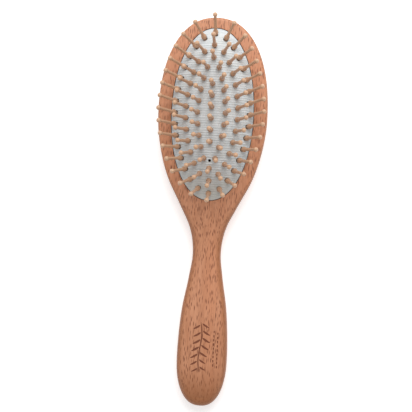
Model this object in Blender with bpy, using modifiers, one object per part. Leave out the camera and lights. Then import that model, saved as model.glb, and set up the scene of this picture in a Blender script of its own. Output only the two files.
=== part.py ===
# Oval cushion brush: a one-piece wooden body, a domed rubber cushion whose flange sits in a
# groove round the head's recess, and turned wooden pins that stand square to the dome.
# Metres, +Z up. The origin is the centre of the head's oval, on the flat back.
# +Y runs to the top of the head, -Y to the end of the handle, +Z the way the pins stand.

import math

import bmesh
import bpy
import numpy as np
from mathutils import Matrix, Vector

# Cushion: the rubber dome, its skirt and the flange that holds it
CUSHION_HALF_WIDTH = 0.0235
CUSHION_HALF_LENGTH = 0.0494
DOME_HEIGHT = 0.0087
DOME_POWER = 2.4  # across: higher is flatter on top and steeper at the rim
TOP_POWER = 6.8  # the same along the dome, towards the top of the head
HEEL_POWER = 2.7  # and towards the handle, where it falls away sooner
RIM_POWER = 2.1  # squareness of the oval at the rim
CREST_POWER = 2.0  # and of the ovals nearest the crest
RUBBER = 0.0012
SKIRT_DEPTH = 0.0030
FLANGE_WIDTH = 0.0014
VENT_RADIUS = 0.00085
VENT_Y = -0.0270

# Wooden body
THICKNESS = 0.0140
RIM_BESIDE_CUSHION = 0.0081
RIM_ABOVE_CUSHION = 0.0066
WAIST_BELOW_CUSHION = 0.0302
HANDLE_LENGTH = 0.0894  # waist to the handle's end
WAIST_HALF_WIDTH = 0.00815
GRIP_HALF_WIDTH = 0.0144
HANDLE_END_ROUND = 0.0255
HANDLE_END_POWER = 2.35
HANDLE_END_FALL = 0.0020  # of the front, over the last of the handle
HANDLE_END_FALLS = 0.0240  # the length that it falls over
HEAD_POWER = 2.25
SHOULDER = ((0.18, 0.105), (0.33, 0.345), (0.54, 0.70), (0.76, 0.915))  # along, widened
GRIP = ((0.16, 0.26), (0.355, 0.73), (0.61, 1.0), (1.0, 0.90))  # along, widened
WAIST_FRONT_DIP = 0.0025
WAIST_BACK_RISE = 0.0012
DIP_TOWARDS_HEAD = 0.0260
DIP_TOWARDS_GRIP = 0.0500
FRONT_EDGE_HEAD = (0.0020, 0.0020)  # inset and depth of the rounded edge
FRONT_EDGE_HANDLE = (0.0055, 0.0045)
BACK_EDGE_HEAD = (0.0090, 0.0060)
BACK_EDGE_HANDLE = (0.0058, 0.0060)
MOST_ROUNDED = 0.9  # the rounded edges take at most this share of the thickness
RECESS_DEPTH = 0.0085

# Pins, measured along the pin from the cushion's face
PIN_LENGTH = 0.0156
BALL_RADIUS = 0.00135
SHAFT_TOP_RADIUS = 0.0008
SHAFT_BASE_RADIUS = 0.00092
SHAFT_BASE = 0.0034
BULB_RADIUS = 0.0016
BULB_HEIGHT = 0.0017
NECK_RADIUS = 0.00095
FOOT_RADIUS = 0.0018
FOOT_THICKNESS = 0.0011

# Pin layout: rings in from the rim, then a column on the crest
OUTER_INSET = (0.0025, 0.0042)  # from the rim, across and along
OUTER_POWER = 1.8
OUTER_PINS = 32
OUTER_ARCS = 4
MIDDLE_SHARES = (0.61, 0.77)  # of the cushion's half width and half length
MIDDLE_POWER = 1.72
MIDDLE_PINS = 26
INNER_SHARES = (0.327, 0.63)
INNER_POWER = 1.5  # the inner ring's ends are the most pointed
INNER_PINS = 20
TOPWARD_LEAN = 0.11  # of a pin at the rim, beyond the dome's normal; none at the crest
CREST_PINS = 6
CREST_PITCH = 0.0065
BACKING_RADIUS = 0.0006  # the strip that joins the feet of an outer arc
BACKING_OVERHANG = 0.28  # past the arc's last pin, as a share of the pins' spacing

# Fits
GAP = 0.0003
FOOT_GAP = 0.0006

# Fineness
OVAL_SIDES = 56
TURNED_SIDES = 8
EDGE_STEPS = 3
RING_SAMPLES = 720
DOME_SHARES = (0, 0.08, 0.2, 0.34, 0.5, 0.66, 0.83, 1)  # ovals of the dome's mesh
HALVINGS = 40
SLOPE_STEP = 1e-5
TINY = 1e-6

HEAD_HALF_WIDTH = CUSHION_HALF_WIDTH + RIM_BESIDE_CUSHION
HEAD_TOP = CUSHION_HALF_LENGTH + RIM_ABOVE_CUSHION
WAIST_Y = -(CUSHION_HALF_LENGTH + WAIST_BELOW_CUSHION)
HANDLE_END_Y = WAIST_Y - HANDLE_LENGTH
OUTER_RING = (CUSHION_HALF_WIDTH - OUTER_INSET[0], CUSHION_HALF_LENGTH - OUTER_INSET[1])


# ---- scene and materials


def clear_scene():
    for obj in list(bpy.data.objects):
        bpy.data.objects.remove(obj)


def new_collection(name):
    collection = bpy.data.collections.new(name)
    bpy.context.scene.collection.children.link(collection)
    return collection


def linear(channel):
    share = channel / 255
    return share / 12.92 if share <= 0.04045 else ((share + 0.055) / 1.055) ** 2.4


def new_material(name, rgb, roughness, metallic=0.0):
    material = bpy.data.materials.new(name)
    material.use_nodes = True
    shader = material.node_tree.nodes["Principled BSDF"]
    shader.inputs["Base Color"].default_value = (*map(linear, rgb), 1.0)
    shader.inputs["Roughness"].default_value = roughness
    shader.inputs["Metallic"].default_value = metallic
    return material


def new_object(name, mesh, collection, material=None):
    obj = bpy.data.objects.new(name, mesh)
    collection.objects.link(obj)
    if material and not mesh.materials:
        mesh.materials.append(material)
    return obj


def mesh_of(name, build):
    """A mesh from a function that fills a bmesh."""
    shape = bmesh.new()
    build(shape)
    mesh = bpy.data.meshes.new(name)
    shape.to_mesh(mesh)
    shape.free()
    return mesh


def smooth(mesh, degrees=40):
    mesh.shade_smooth()
    mesh.set_sharp_from_angle(angle=math.radians(degrees))


def hide_as_cutter(obj):
    obj.hide_render = True
    obj.display_type = "WIRE"


def cut(obj, cutter, operation="DIFFERENCE"):
    boolean = obj.modifiers.new(cutter.name, "BOOLEAN")
    boolean.operation = operation
    boolean.object = cutter
    hide_as_cutter(cutter)


# ---- the dome: a family of ovals that shrink from the rim to a point on the crest


def oval_sizes(share, y):
    """Half width and half length of the oval this share of the way from the rim to the crest.

    The half length differs at the two ends, so it also depends on the sign of y.
    """
    power = np.where(y > 0, TOP_POWER, HEEL_POWER)
    drawn_in = (1 - share) ** (DOME_POWER / power)
    return CUSHION_HALF_WIDTH * (1 - share), CUSHION_HALF_LENGTH * drawn_in


def oval_power(share):
    return RIM_POWER + (CREST_POWER - RIM_POWER) * share


def superellipse(power, sides):
    """(x, y) round a superellipse 1 from its centre, clockwise from the top."""
    turn = 2 * math.pi * np.arange(sides) / sides
    across, along = np.sin(turn), np.cos(turn)
    x = np.sign(across) * np.abs(across) ** (2 / power)
    return x, np.sign(along) * np.abs(along) ** (2 / power)


def dome_oval(share):
    """Points round one of the dome's ovals, on the plane of the wood's face."""
    x, y = superellipse(oval_power(share), OVAL_SIDES)
    half_width, half_length = oval_sizes(share, y)
    return np.stack([half_width * x, half_length * y, np.zeros(OVAL_SIDES)], axis=1)


def rim_oval(inset):
    """Points round the rim, drawn in by this much all round."""
    x, y = superellipse(RIM_POWER, OVAL_SIDES)
    x, y = (CUSHION_HALF_WIDTH - inset) * x, (CUSHION_HALF_LENGTH - inset) * y
    return np.stack([x, y, np.zeros(OVAL_SIDES)], axis=1)


def share_at(x, y):
    """How far from the rim, 0, to the crest, 1, the oval through (x, y) lies, by halving."""
    low, high = np.zeros(np.shape(x)), np.ones(np.shape(x))
    for _ in range(HALVINGS):
        share = (low + high) / 2
        half_width, half_length = oval_sizes(share, y)
        power = oval_power(share)
        inside = (np.abs(x) / half_width) ** power + (np.abs(y) / half_length) ** power < 1
        low, high = np.where(inside, share, low), np.where(inside, high, share)
    return low


def crown(share):
    """The dome's height over the wood's face, nearly level towards the crest."""
    return DOME_HEIGHT * (1 - (1 - share) ** DOME_POWER)


def on_dome(x, y):
    """Points of the dome's face over (x, y), and the outward normals there."""
    z = crown(share_at(x, y))
    slope_x = (crown(share_at(x + SLOPE_STEP, y)) - crown(share_at(x - SLOPE_STEP, y))) / (2 * SLOPE_STEP)
    slope_y = (crown(share_at(x, y + SLOPE_STEP)) - crown(share_at(x, y - SLOPE_STEP))) / (2 * SLOPE_STEP)
    normals = np.stack([-slope_x, -slope_y, np.ones(np.shape(x))], axis=1)
    return np.stack([x, y, z], axis=1), normals / np.linalg.norm(normals, axis=1, keepdims=True)


# ---- where the pins stand


def pin_lines(x, y):
    """Points of the dome over (x, y), and the directions of pins that stand there."""
    points, directions = on_dome(x, y)
    directions[:, 1] += TOPWARD_LEAN * (1 - points[:, 2] / DOME_HEIGHT)
    return points, directions / np.linalg.norm(directions, axis=1, keepdims=True)


def along_ring(half_width, half_length, power, turns):
    """Pin lines at these shares of a turn round a ring, clockwise from its top."""
    x, y = superellipse(power, RING_SAMPLES)
    points, _ = on_dome(half_width * x, half_length * y)
    closed = np.vstack([points, points[:1]])
    travelled = np.concatenate([[0], np.cumsum(np.linalg.norm(np.diff(closed, axis=0), axis=1))])
    distances = np.mod(turns, 1) * travelled[-1]
    return pin_lines(*[np.interp(distances, travelled, closed[:, axis]) for axis in (0, 1)])


def seat(point, direction):
    """The placing that stands a pin on this point of the dome, along this direction."""
    turn = Vector(direction).to_track_quat("Z", "Y")
    return Matrix.Translation(Vector(point)) @ turn.to_matrix().to_4x4()


def seats(points, directions):
    return [seat(point, direction) for point, direction in zip(points, directions)]


def ring_seats(half_width, half_length, power, count):
    """Evenly spaced seats round a ring, one of them at its top."""
    return seats(*along_ring(half_width, half_length, power, np.arange(count) / count))


def shared_ring_seats(shares, power, count):
    """Seats round a ring that is a share of the cushion's width and length."""
    return ring_seats(shares[0] * CUSHION_HALF_WIDTH, shares[1] * CUSHION_HALF_LENGTH, power, count)


def crest_seats():
    y = CREST_PITCH * (np.arange(CREST_PINS) - (CREST_PINS - 1) / 2)
    return seats(*pin_lines(np.zeros(CREST_PINS), y))


def vent_seat():
    return seats(*on_dome(np.zeros(1), np.array([VENT_Y])))[0]


def all_seats():
    return {
        "outer_pin": ring_seats(*OUTER_RING, OUTER_POWER, OUTER_PINS),
        "middle_pin": shared_ring_seats(MIDDLE_SHARES, MIDDLE_POWER, MIDDLE_PINS),
        "inner_pin": shared_ring_seats(INNER_SHARES, INNER_POWER, INNER_PINS),
        "crest_pin": crest_seats(),
    }


# ---- wooden body


def through_stations(stations, at):
    """A smooth curve through (place, value) stations, level at both ends."""
    places, values = np.array(sorted(stations)).T
    slopes = np.gradient(values, places)
    slopes[[0, -1]] = 0
    at = np.clip(at, places[0], places[-1])
    left = np.clip(np.searchsorted(places, at) - 1, 0, len(places) - 2)
    span = places[left + 1] - places[left]
    t = (at - places[left]) / span
    return (
        (1 + 2 * t) * (1 - t) ** 2 * values[left]
        + t * (1 - t) ** 2 * span * slopes[left]
        + t**2 * (3 - 2 * t) * values[left + 1]
        + t**2 * (t - 1) * span * slopes[left + 1]
    )


def lower_stations():
    """The outline's stations from the widest place of the head down to the handle's end."""
    shoulder = HEAD_HALF_WIDTH - WAIST_HALF_WIDTH
    grip = GRIP_HALF_WIDTH - WAIST_HALF_WIDTH
    return (
        [(0.0, HEAD_HALF_WIDTH), (WAIST_Y, WAIST_HALF_WIDTH)]
        + [(WAIST_Y * (1 - along), WAIST_HALF_WIDTH + shoulder * wide) for along, wide in SHOULDER]
        + [(WAIST_Y - HANDLE_LENGTH * along, WAIST_HALF_WIDTH + grip * wide) for along, wide in GRIP]
    )


def head_outline(steps):
    """The head's upper half as a superellipse, from the top down to its widest place."""
    turn = np.linspace(0, math.pi / 2, steps + 1)
    x = HEAD_HALF_WIDTH * np.sin(turn) ** (2 / HEAD_POWER)
    return x, HEAD_TOP * np.cos(turn) ** (2 / HEAD_POWER)


def body_outline():
    """The right-hand outline from the top of the head to the end of the handle."""
    head_x, head_y = head_outline(12)
    straight_y = np.linspace(0, HANDLE_END_Y + HANDLE_END_ROUND, 23)[1:]
    straight_x = through_stations(lower_stations(), straight_y)
    turn = np.linspace(math.pi / 2, 0, 9)[1:]
    end_y = HANDLE_END_Y + HANDLE_END_ROUND * (1 - np.cos(turn) ** (2 / HANDLE_END_POWER))
    end_x = through_stations(lower_stations(), end_y) * np.sin(turn) ** (2 / HANDLE_END_POWER)
    x = np.concatenate([head_x, straight_x, end_x])
    y = np.concatenate([head_y, straight_y, end_y])
    x[[0, -1]] = 0
    return x, y


def outline_normals(x, y):
    onward = np.stack([np.gradient(x), np.gradient(y)], axis=1)
    normals = np.stack([-onward[:, 1], onward[:, 0]], axis=1)
    normals[0], normals[-1] = (0, 1), (0, -1)
    return normals / np.linalg.norm(normals, axis=1, keepdims=True)


def smoothstep(low, high, at):
    share = np.clip((at - low) / (high - low), 0, 1)
    return share * share * (3 - 2 * share)


def waist_dip(y):
    """1 at the waist, fading to 0 towards the head and towards the grip."""
    reach = np.where(y > WAIST_Y, DIP_TOWARDS_HEAD, DIP_TOWARDS_GRIP)
    return np.cos(math.pi / 2 * np.clip(np.abs(y - WAIST_Y) / reach, 0, 1)) ** 2


def front_height(y):
    """The front's height: lower at the waist, and falling away at the handle's end."""
    past = np.clip((HANDLE_END_Y + HANDLE_END_FALLS - y) / HANDLE_END_FALLS, 0, 1)
    return THICKNESS - WAIST_FRONT_DIP * waist_dip(y) - HANDLE_END_FALL * past**2


def edge_sizes(y, head, handle):
    """Inset and depth of a rounded edge, from the head's values to the handle's."""
    to_handle = 1 - smoothstep(WAIST_Y, -CUSHION_HALF_LENGTH / 2, y)
    return [a + (b - a) * to_handle for a, b in zip(head, handle)]


def half_body_rows():
    """Rows of points over the right half: front centreline, rounded edges, back centreline."""
    x, y = body_outline()
    normals = outline_normals(x, y)
    front_inset, front_depth = edge_sizes(y, FRONT_EDGE_HEAD, FRONT_EDGE_HANDLE)
    back_inset, back_depth = edge_sizes(y, BACK_EDGE_HEAD, BACK_EDGE_HANDLE)
    front = front_height(y)
    back = WAIST_BACK_RISE * waist_dip(y)
    room = np.minimum(1, MOST_ROUNDED * (front - back) / (front_depth + back_depth))
    front_depth, back_depth = front_depth * room, back_depth * room
    rows = []
    for turn in np.linspace(0, math.pi / 2, EDGE_STEPS + 1):
        inset = front_inset * (1 - math.sin(turn))
        z = front - front_depth * (1 - math.cos(turn))
        rows.append(row_of(x, y, normals, inset, z))
    for turn in np.linspace(math.pi / 2, 0, EDGE_STEPS + 1):
        inset = back_inset * (1 - math.sin(turn))
        z = back + back_depth * (1 - math.cos(turn))
        rows.append(row_of(x, y, normals, inset, z))
    return [on_centreline(rows[0])] + rows + [on_centreline(rows[-1])]


def row_of(x, y, normals, inset, z):
    moved = np.stack([x, y], axis=1) - normals * np.reshape(inset, (-1, 1))
    moved[[0, -1], 0] = 0
    return np.column_stack([moved, z])


def on_centreline(row):
    return row * (0, 1, 1)


def fill_half_body(shape):
    rows = [[shape.verts.new(point) for point in row] for row in half_body_rows()]
    for above, below in zip(rows, rows[1:]):
        for k in range(len(above) - 1):
            shape.faces.new((above[k], above[k + 1], below[k + 1], below[k]))
    bmesh.ops.remove_doubles(shape, verts=shape.verts[:], dist=TINY)
    bmesh.ops.recalc_face_normals(shape, faces=shape.faces[:])


def fill_oval_prism(inset, bottom, top):
    """A function that fills a bmesh with the upright prism over one of the ovals."""

    def fill(shape):
        base = [shape.verts.new(point + (0, 0, bottom)) for point in rim_oval(inset)]
        face = shape.faces.new(base)
        grown = bmesh.ops.extrude_face_region(shape, geom=[face])
        raised = [item for item in grown["geom"] if isinstance(item, bmesh.types.BMVert)]
        bmesh.ops.translate(shape, verts=raised, vec=(0, 0, top - bottom))
        bmesh.ops.recalc_face_normals(shape, faces=shape.faces[:])

    return fill


def make_body(collection, cutters, material):
    mesh = mesh_of("brush_body", fill_half_body)
    smooth(mesh)
    body = new_object("brush_body", mesh, collection, material)
    mirror = body.modifiers.new("left_half", "MIRROR")
    mirror.merge_threshold = 1e-5
    floor = THICKNESS - RECESS_DEPTH
    recess = mesh_of("recess_cutter", fill_oval_prism(-GAP, floor, THICKNESS + 0.002))
    cut(body, new_object("recess_cutter", recess, cutters))
    groove_top = THICKNESS - SKIRT_DEPTH + GAP
    groove_bottom = THICKNESS - SKIRT_DEPTH - RUBBER - GAP
    groove = mesh_of("groove_cutter", fill_oval_prism(-FLANGE_WIDTH - GAP, groove_bottom, groove_top))
    cut(body, new_object("groove_cutter", groove, cutters))
    return body


# ---- cushion


def fill_cushion_skin(shape):
    """The outer skin: the dome, the skirt down the recess wall and the flange's upper face."""
    rings = [dome_oval(share) + (0, 0, crown(share)) for share in DOME_SHARES[::-1]]
    rings.append(rim_oval(0) - (0, 0, SKIRT_DEPTH))
    rings.append(rim_oval(-FLANGE_WIDTH) - (0, 0, SKIRT_DEPTH))
    loops = [[shape.verts.new(point) for point in ring] for ring in rings]
    for inner, outer in zip(loops, loops[1:]):
        for k in range(OVAL_SIDES):
            after = (k + 1) % OVAL_SIDES
            shape.faces.new((inner[k], inner[after], outer[after], outer[k]))
    bmesh.ops.remove_doubles(shape, verts=shape.verts[:], dist=TINY)
    bmesh.ops.recalc_face_normals(shape, faces=shape.faces[:])
    if max(shape.faces, key=lambda face: face.calc_center_median().z).normal.z < 0:
        bmesh.ops.reverse_faces(shape, faces=shape.faces[:])


def fill_hole_cutters(places):
    """A function that fills a bmesh with one rod through the rubber at each seat, and the vent's."""
    rods = [(place, NECK_RADIUS + GAP) for place in places] + [(vent_seat(), VENT_RADIUS)]

    def fill(shape):
        for place, radius in rods:
            bmesh.ops.create_cone(
                shape,
                cap_ends=True,
                segments=TURNED_SIDES,
                radius1=radius,
                radius2=radius,
                depth=4 * RUBBER,
                matrix=place,
            )

    return fill


def make_cushion(collection, cutters, material, parent, places):
    mesh = mesh_of("cushion", fill_cushion_skin)
    smooth(mesh)
    cushion = new_object("cushion", mesh, collection, material)
    cushion.parent = parent
    wall = cushion.modifiers.new("rubber_wall", "SOLIDIFY")
    wall.thickness = RUBBER
    wall.offset = -1
    wall.use_even_offset = True
    holes = new_object("pin_hole_cutter", mesh_of("pin_hole_cutter", fill_hole_cutters(places)), cutters)
    holes.parent = parent
    cut(cushion, holes)
    return cushion


# ---- pins


def pin_profile():
    """(radius, height) down the outside of a pin, tip to foot; 0 is the cushion's face."""
    ball_centre = PIN_LENGTH - BALL_RADIUS
    neck_end = -(RUBBER + FOOT_GAP)
    return (
        (0, PIN_LENGTH),
        (BALL_RADIUS, ball_centre),
        (SHAFT_TOP_RADIUS, ball_centre - BALL_RADIUS),
        (SHAFT_BASE_RADIUS, SHAFT_BASE),
        (BULB_RADIUS, BULB_HEIGHT),
        (NECK_RADIUS, GAP),
        (NECK_RADIUS, neck_end),
        (FOOT_RADIUS, neck_end - FOOT_THICKNESS / 2),
        (0, neck_end - FOOT_THICKNESS),
    )


def fill_pin_profile(shape):
    points = [shape.verts.new((radius, 0, height)) for radius, height in pin_profile()]
    for above, below in zip(points, points[1:]):
        shape.edges.new((above, below))


def new_pin(name, profile, collection, place, parent):
    pin = new_object(name, profile, collection)
    pin.parent = parent
    pin.matrix_basis = place
    turned = pin.modifiers.new("turned", "SCREW")
    turned.steps = TURNED_SIDES
    turned.render_steps = TURNED_SIDES
    turned.use_merge_vertices = True
    turned.merge_threshold = 1e-5
    turned.use_smooth_shade = True
    return pin


def evaluated_mesh(obj):
    """The object's shape with its modifiers, as a mesh of its own with its doubles merged."""
    graph = bpy.context.evaluated_depsgraph_get()
    mesh = bpy.data.meshes.new_from_object(obj.evaluated_get(graph))
    shape = bmesh.new()
    shape.from_mesh(mesh)
    bmesh.ops.remove_doubles(shape, verts=shape.verts[:], dist=TINY)
    shape.to_mesh(mesh)
    shape.free()
    return mesh


def backing_points(first, last):
    """The line through the feet of the outer pins from number first to number last."""
    start, end = (first - BACKING_OVERHANG) / OUTER_PINS, (last + BACKING_OVERHANG) / OUTER_PINS
    turns = np.linspace(start, end, 3 * (last - first) + 1)
    points, directions = along_ring(*OUTER_RING, OUTER_POWER, turns)
    return points - directions * (RUBBER + FOOT_GAP + FOOT_THICKNESS / 2)


def make_backing(name, points, collection, material, parent):
    """A round strip along these points, made a mesh so that the pins can be joined to it."""
    line = bpy.data.curves.new(name, "CURVE")
    line.dimensions = "3D"
    line.bevel_depth = BACKING_RADIUS
    line.bevel_resolution = 1
    line.use_fill_caps = True
    spline = line.splines.new("POLY")
    spline.points.add(len(points) - 1)
    spline.points.foreach_set("co", np.column_stack([points, np.ones(len(points))]).ravel())
    drawn = new_object(name, line, collection)
    bpy.context.view_layer.update()
    mesh = evaluated_mesh(drawn)
    bpy.data.objects.remove(drawn)
    mesh.materials.clear()
    backing = new_object(name, mesh, collection, material)
    backing.parent = parent
    return backing


def make_outer_arc(number, turned_mesh, places, collection, cutters, material, parent):
    """One arc of the outer ring: its pins, joined at the feet by the strip under the rubber."""
    per_arc = OUTER_PINS // OUTER_ARCS
    first = (number - 1) * per_arc
    name = f"outer_pins_{number}"
    points = backing_points(first, first + per_arc - 1)
    arc = make_backing(name, points, collection, material, parent)
    shape = bmesh.new()
    for place in places[first : first + per_arc]:
        before = len(shape.verts)
        shape.from_mesh(turned_mesh)
        shape.verts.ensure_lookup_table()
        bmesh.ops.transform(shape, matrix=place, verts=shape.verts[before:])
    pins = bpy.data.meshes.new(name + "_joined")
    shape.to_mesh(pins)
    shape.free()
    joined = new_object(name + "_joined", pins, cutters)
    joined.parent = parent
    cut(arc, joined, "UNION")
    return arc


def make_pins(collection, cutters, material, parent, rings):
    profile = mesh_of("pin", fill_pin_profile)
    profile.materials.append(material)
    for name in ("crest_pin", "inner_pin", "middle_pin"):
        for number, place in enumerate(rings[name], 1):
            new_pin(f"{name}_{number}", profile, collection, place, parent)
    pattern = new_pin("pin_pattern", profile, cutters, Matrix.Identity(4), None)
    bpy.context.view_layer.update()
    turned_mesh = evaluated_mesh(pattern)
    bpy.data.objects.remove(pattern)
    for number in range(1, OUTER_ARCS + 1):
        make_outer_arc(
            number, turned_mesh, rings["outer_pin"], collection, cutters, material, parent
        )


def main():
    clear_scene()
    collection = new_collection("cushion_brush")
    cutters = new_collection("cushion_brush_cutters")
    beech = new_material("beech_body", (205, 145, 112), 0.45)
    pin_wood = new_material("pin_wood", (228, 184, 148), 0.4)
    rubber = new_material("cushion_rubber", (200, 202, 201), 0.6)
    wood_face = bpy.data.objects.new("wood_face", None)
    wood_face.location.z = THICKNESS
    collection.objects.link(wood_face)
    rings = all_seats()
    make_body(collection, cutters, beech)
    make_cushion(collection, cutters, rubber, wood_face, sum(rings.values(), []))
    make_pins(collection, cutters, pin_wood, wood_face, rings)


main()
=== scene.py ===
# Oval cushion brush: its finished surfaces and finishes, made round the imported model.
# Metres, +Z up. The flat back lies on z = 0 and the handle runs towards -Y.
import math

import bmesh
import bpy
import numpy as np
from mathutils import Matrix, Vector


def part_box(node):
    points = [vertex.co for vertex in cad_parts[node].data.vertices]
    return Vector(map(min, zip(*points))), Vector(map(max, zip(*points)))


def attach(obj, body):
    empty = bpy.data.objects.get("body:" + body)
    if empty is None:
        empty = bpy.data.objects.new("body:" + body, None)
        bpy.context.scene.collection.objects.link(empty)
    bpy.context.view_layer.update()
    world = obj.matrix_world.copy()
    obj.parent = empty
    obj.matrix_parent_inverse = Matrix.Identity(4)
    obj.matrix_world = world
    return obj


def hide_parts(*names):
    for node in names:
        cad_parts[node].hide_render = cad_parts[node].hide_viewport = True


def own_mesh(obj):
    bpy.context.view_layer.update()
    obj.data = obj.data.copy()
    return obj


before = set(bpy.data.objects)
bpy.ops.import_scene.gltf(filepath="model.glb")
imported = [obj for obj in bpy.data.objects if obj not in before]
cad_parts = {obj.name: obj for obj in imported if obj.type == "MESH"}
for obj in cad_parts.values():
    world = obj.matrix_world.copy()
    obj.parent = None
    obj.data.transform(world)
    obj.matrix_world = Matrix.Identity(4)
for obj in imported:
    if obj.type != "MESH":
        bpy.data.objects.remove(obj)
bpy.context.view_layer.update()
bodyLow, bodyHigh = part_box("brush_body")
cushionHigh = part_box("cushion")[1]
woodFace = bodyHigh.z
print("frame loaded with", len(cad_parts), "nodes")

meshing = {
    "weldDistance": 1e-7,
    "sharpAngle": 35,
    "turnedSharpAngle": 50,
}


# one output of a shader node, so that patterns add and multiply like numbers
class Tint:
    def __init__(self, finish, socket):
        self.finish = finish
        self.socket = socket

    def maths(self, operation, first, second):
        return self.finish.node("Math", {"operation": operation}, {0: first, 1: second})

    def __add__(self, other):
        return self.maths("ADD", self, other)

    def __radd__(self, other):
        return self.maths("ADD", other, self)

    def __sub__(self, other):
        return self.maths("SUBTRACT", self, other)

    def __rsub__(self, other):
        return self.maths("SUBTRACT", other, self)

    def __mul__(self, other):
        return self.maths("MULTIPLY", self, other)

    def __rmul__(self, other):
        return self.maths("MULTIPLY", other, self)


# one material, with its constant values set on the surface shader's own sockets
class Finish:
    def __init__(self, name, constants):
        self.material = bpy.data.materials.new(name)
        self.material.use_nodes = True
        self.tree = self.material.node_tree
        self.surface = self.tree.nodes["Principled BSDF"]
        self.plug(self.surface, constants)

    # a pattern is linked to its socket, and a plain value is set on it
    def plug(self, shaderNode, sockets):
        for name, value in sockets.items():
            if isinstance(value, Tint):
                self.tree.links.new(value.socket, shaderNode.inputs[name])
            else:
                shaderNode.inputs[name].default_value = value

    # any other node: its type, its settings, what its sockets take, and the output to use
    def node(self, kind, settings, sockets, output=0):
        made = self.tree.nodes.new("ShaderNode" + kind)
        for name, value in settings.items():
            setattr(made, name, value)
        self.plug(made, sockets)
        return Tint(self, made.outputs[output])

    def objectPlace(self):
        return self.node("TexCoord", {}, {}, "Object")

    def attribute(self, name, output="Fac"):
        return self.node("Attribute", {"attribute_name": name}, {}, output)

    # the place, drawn out along one direction by making its scale there smaller
    def stretched(self, place, scale):
        return self.node("Mapping", {}, {"Vector": place, "Scale": scale})

    # noise of this scale, detail and roughness, drawn out by the look's own stretch
    def noise(self, place, look):
        if "stretch" in look:
            place = self.stretched(place, look["stretch"])
        sockets = {"Vector": place, "Scale": look["scale"], "Detail": look["detail"]}
        sockets["Roughness"] = look["roughness"]
        sockets["Distortion"] = look.get("distortion", 0.0)
        return self.node("TexNoise", {}, sockets)

    # 0 below low, 1 above high, and smooth between
    def band(self, value, low, high):
        sockets = {"Value": value, "From Min": low, "From Max": high}
        return self.node("MapRange", {"interpolation_type": "SMOOTHSTEP"}, sockets)

    # the first colour where the factor is 0, the second where it is 1
    def blend(self, factor, first, second):
        return self.node("Mix", {"data_type": "RGBA"}, {0: factor, 6: first, 7: second}, 2)

    # two tones blended by how far the pattern is through its band
    def tones(self, pattern, look):
        dark, pale = look["tones"]
        return self.blend(self.band(pattern, *look["band"]), shade(*dark), shade(*pale))

    # a tone laid over a colour by the pattern's band times the look's amount
    def layer(self, colour, pattern, look):
        mask = self.band(pattern, *look["band"]) if "band" in look else pattern
        return self.blend(mask * look["amount"], colour, shade(*look["tone"]))

    def bump(self, height, distance):
        return self.node("Bump", {}, {"Height": height, "Distance": distance}, "Normal")


# a screen colour from 0 to 255 as the linear colour that shaders take
def shade(red, green, blue):
    share = np.array([red, green, blue]) / 255
    linear = np.where(share <= 0.04045, share / 12.92, ((share + 0.055) / 1.055) ** 2.4)
    return (*(float(channel) for channel in linear), 1.0)


# 0 below low, 1 above high, cubic and level at both ends between
def easedStep(low, high, at):
    share = np.clip((at - low) / (high - low), 0, 1)
    return share * share * (3 - 2 * share)


# quads of a grid of points, row by row; a wrapped grid joins its last column to its first
def gridFaces(rows, columns, wrapped=False):
    index = np.arange(rows * columns).reshape(rows, columns)
    if wrapped:
        index = np.column_stack([index, index[:, 0]])
    corners = [index[:-1, :-1], index[1:, :-1], index[1:, 1:], index[:-1, 1:]]
    return np.stack([corner.ravel() for corner in corners], axis=1)


# a mesh object whose coincident points are merged and whose faces point outwards
def newPiece(name, points, faces, materials, sharpAngle=meshing["sharpAngle"]):
    mesh = bpy.data.meshes.new(name)
    mesh.from_pydata(np.reshape(points, (-1, 3)), [], faces)
    for material in materials:
        mesh.materials.append(material)
    piece = bpy.data.objects.new(name, mesh)
    bpy.context.scene.collection.objects.link(piece)
    weld(mesh)
    smoothed(mesh, sharpAngle)
    return piece


# merges points in one place, drops faces with no area, and turns the rest outwards
def weld(mesh):
    tiny = meshing["weldDistance"]
    shape = bmesh.new()
    shape.from_mesh(mesh)
    bmesh.ops.remove_doubles(shape, verts=shape.verts[:], dist=tiny)
    bmesh.ops.dissolve_degenerate(shape, edges=shape.edges[:], dist=tiny)
    bmesh.ops.recalc_face_normals(shape, faces=shape.faces[:])
    shape.to_mesh(mesh)
    shape.free()


# smooth shading, apart from edges sharper than this many degrees
def smoothed(mesh, sharpAngle):
    mesh.shade_smooth()
    mesh.set_sharp_from_angle(angle=math.radians(sharpAngle))


# takes each cutter away from the piece and keeps the result as the piece's own mesh
def carve(piece, cutters, sharpAngle=meshing["sharpAngle"]):
    for cutter in cutters:
        cut = piece.modifiers.new(cutter.name, "BOOLEAN")
        cut.object = cutter
        cut.operation = "DIFFERENCE"
        cut.solver = "MANIFOLD"
    finished = piece.evaluated_get(bpy.context.evaluated_depsgraph_get())
    carved = bpy.data.meshes.new_from_object(finished)
    piece.modifiers.clear()
    piece.data = carved
    for cutter in cutters:
        bpy.data.objects.remove(cutter)
    smoothed(carved, sharpAngle)


# the mesh's points as one array of (x, y, z) rows
def placesOf(mesh):
    places = np.zeros(len(mesh.vertices) * 3, np.float32)
    mesh.vertices.foreach_get("co", places)
    return places.reshape(-1, 3).astype(float)


# one value or vector for each of the mesh's points, for a finish to read
def setAttribute(mesh, name, values, kind="FLOAT"):
    layer = mesh.attributes.new(name, kind, "POINT")
    field = "vector" if kind == "FLOAT_VECTOR" else "value"
    layer.data.foreach_set(field, np.ravel(values))


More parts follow.
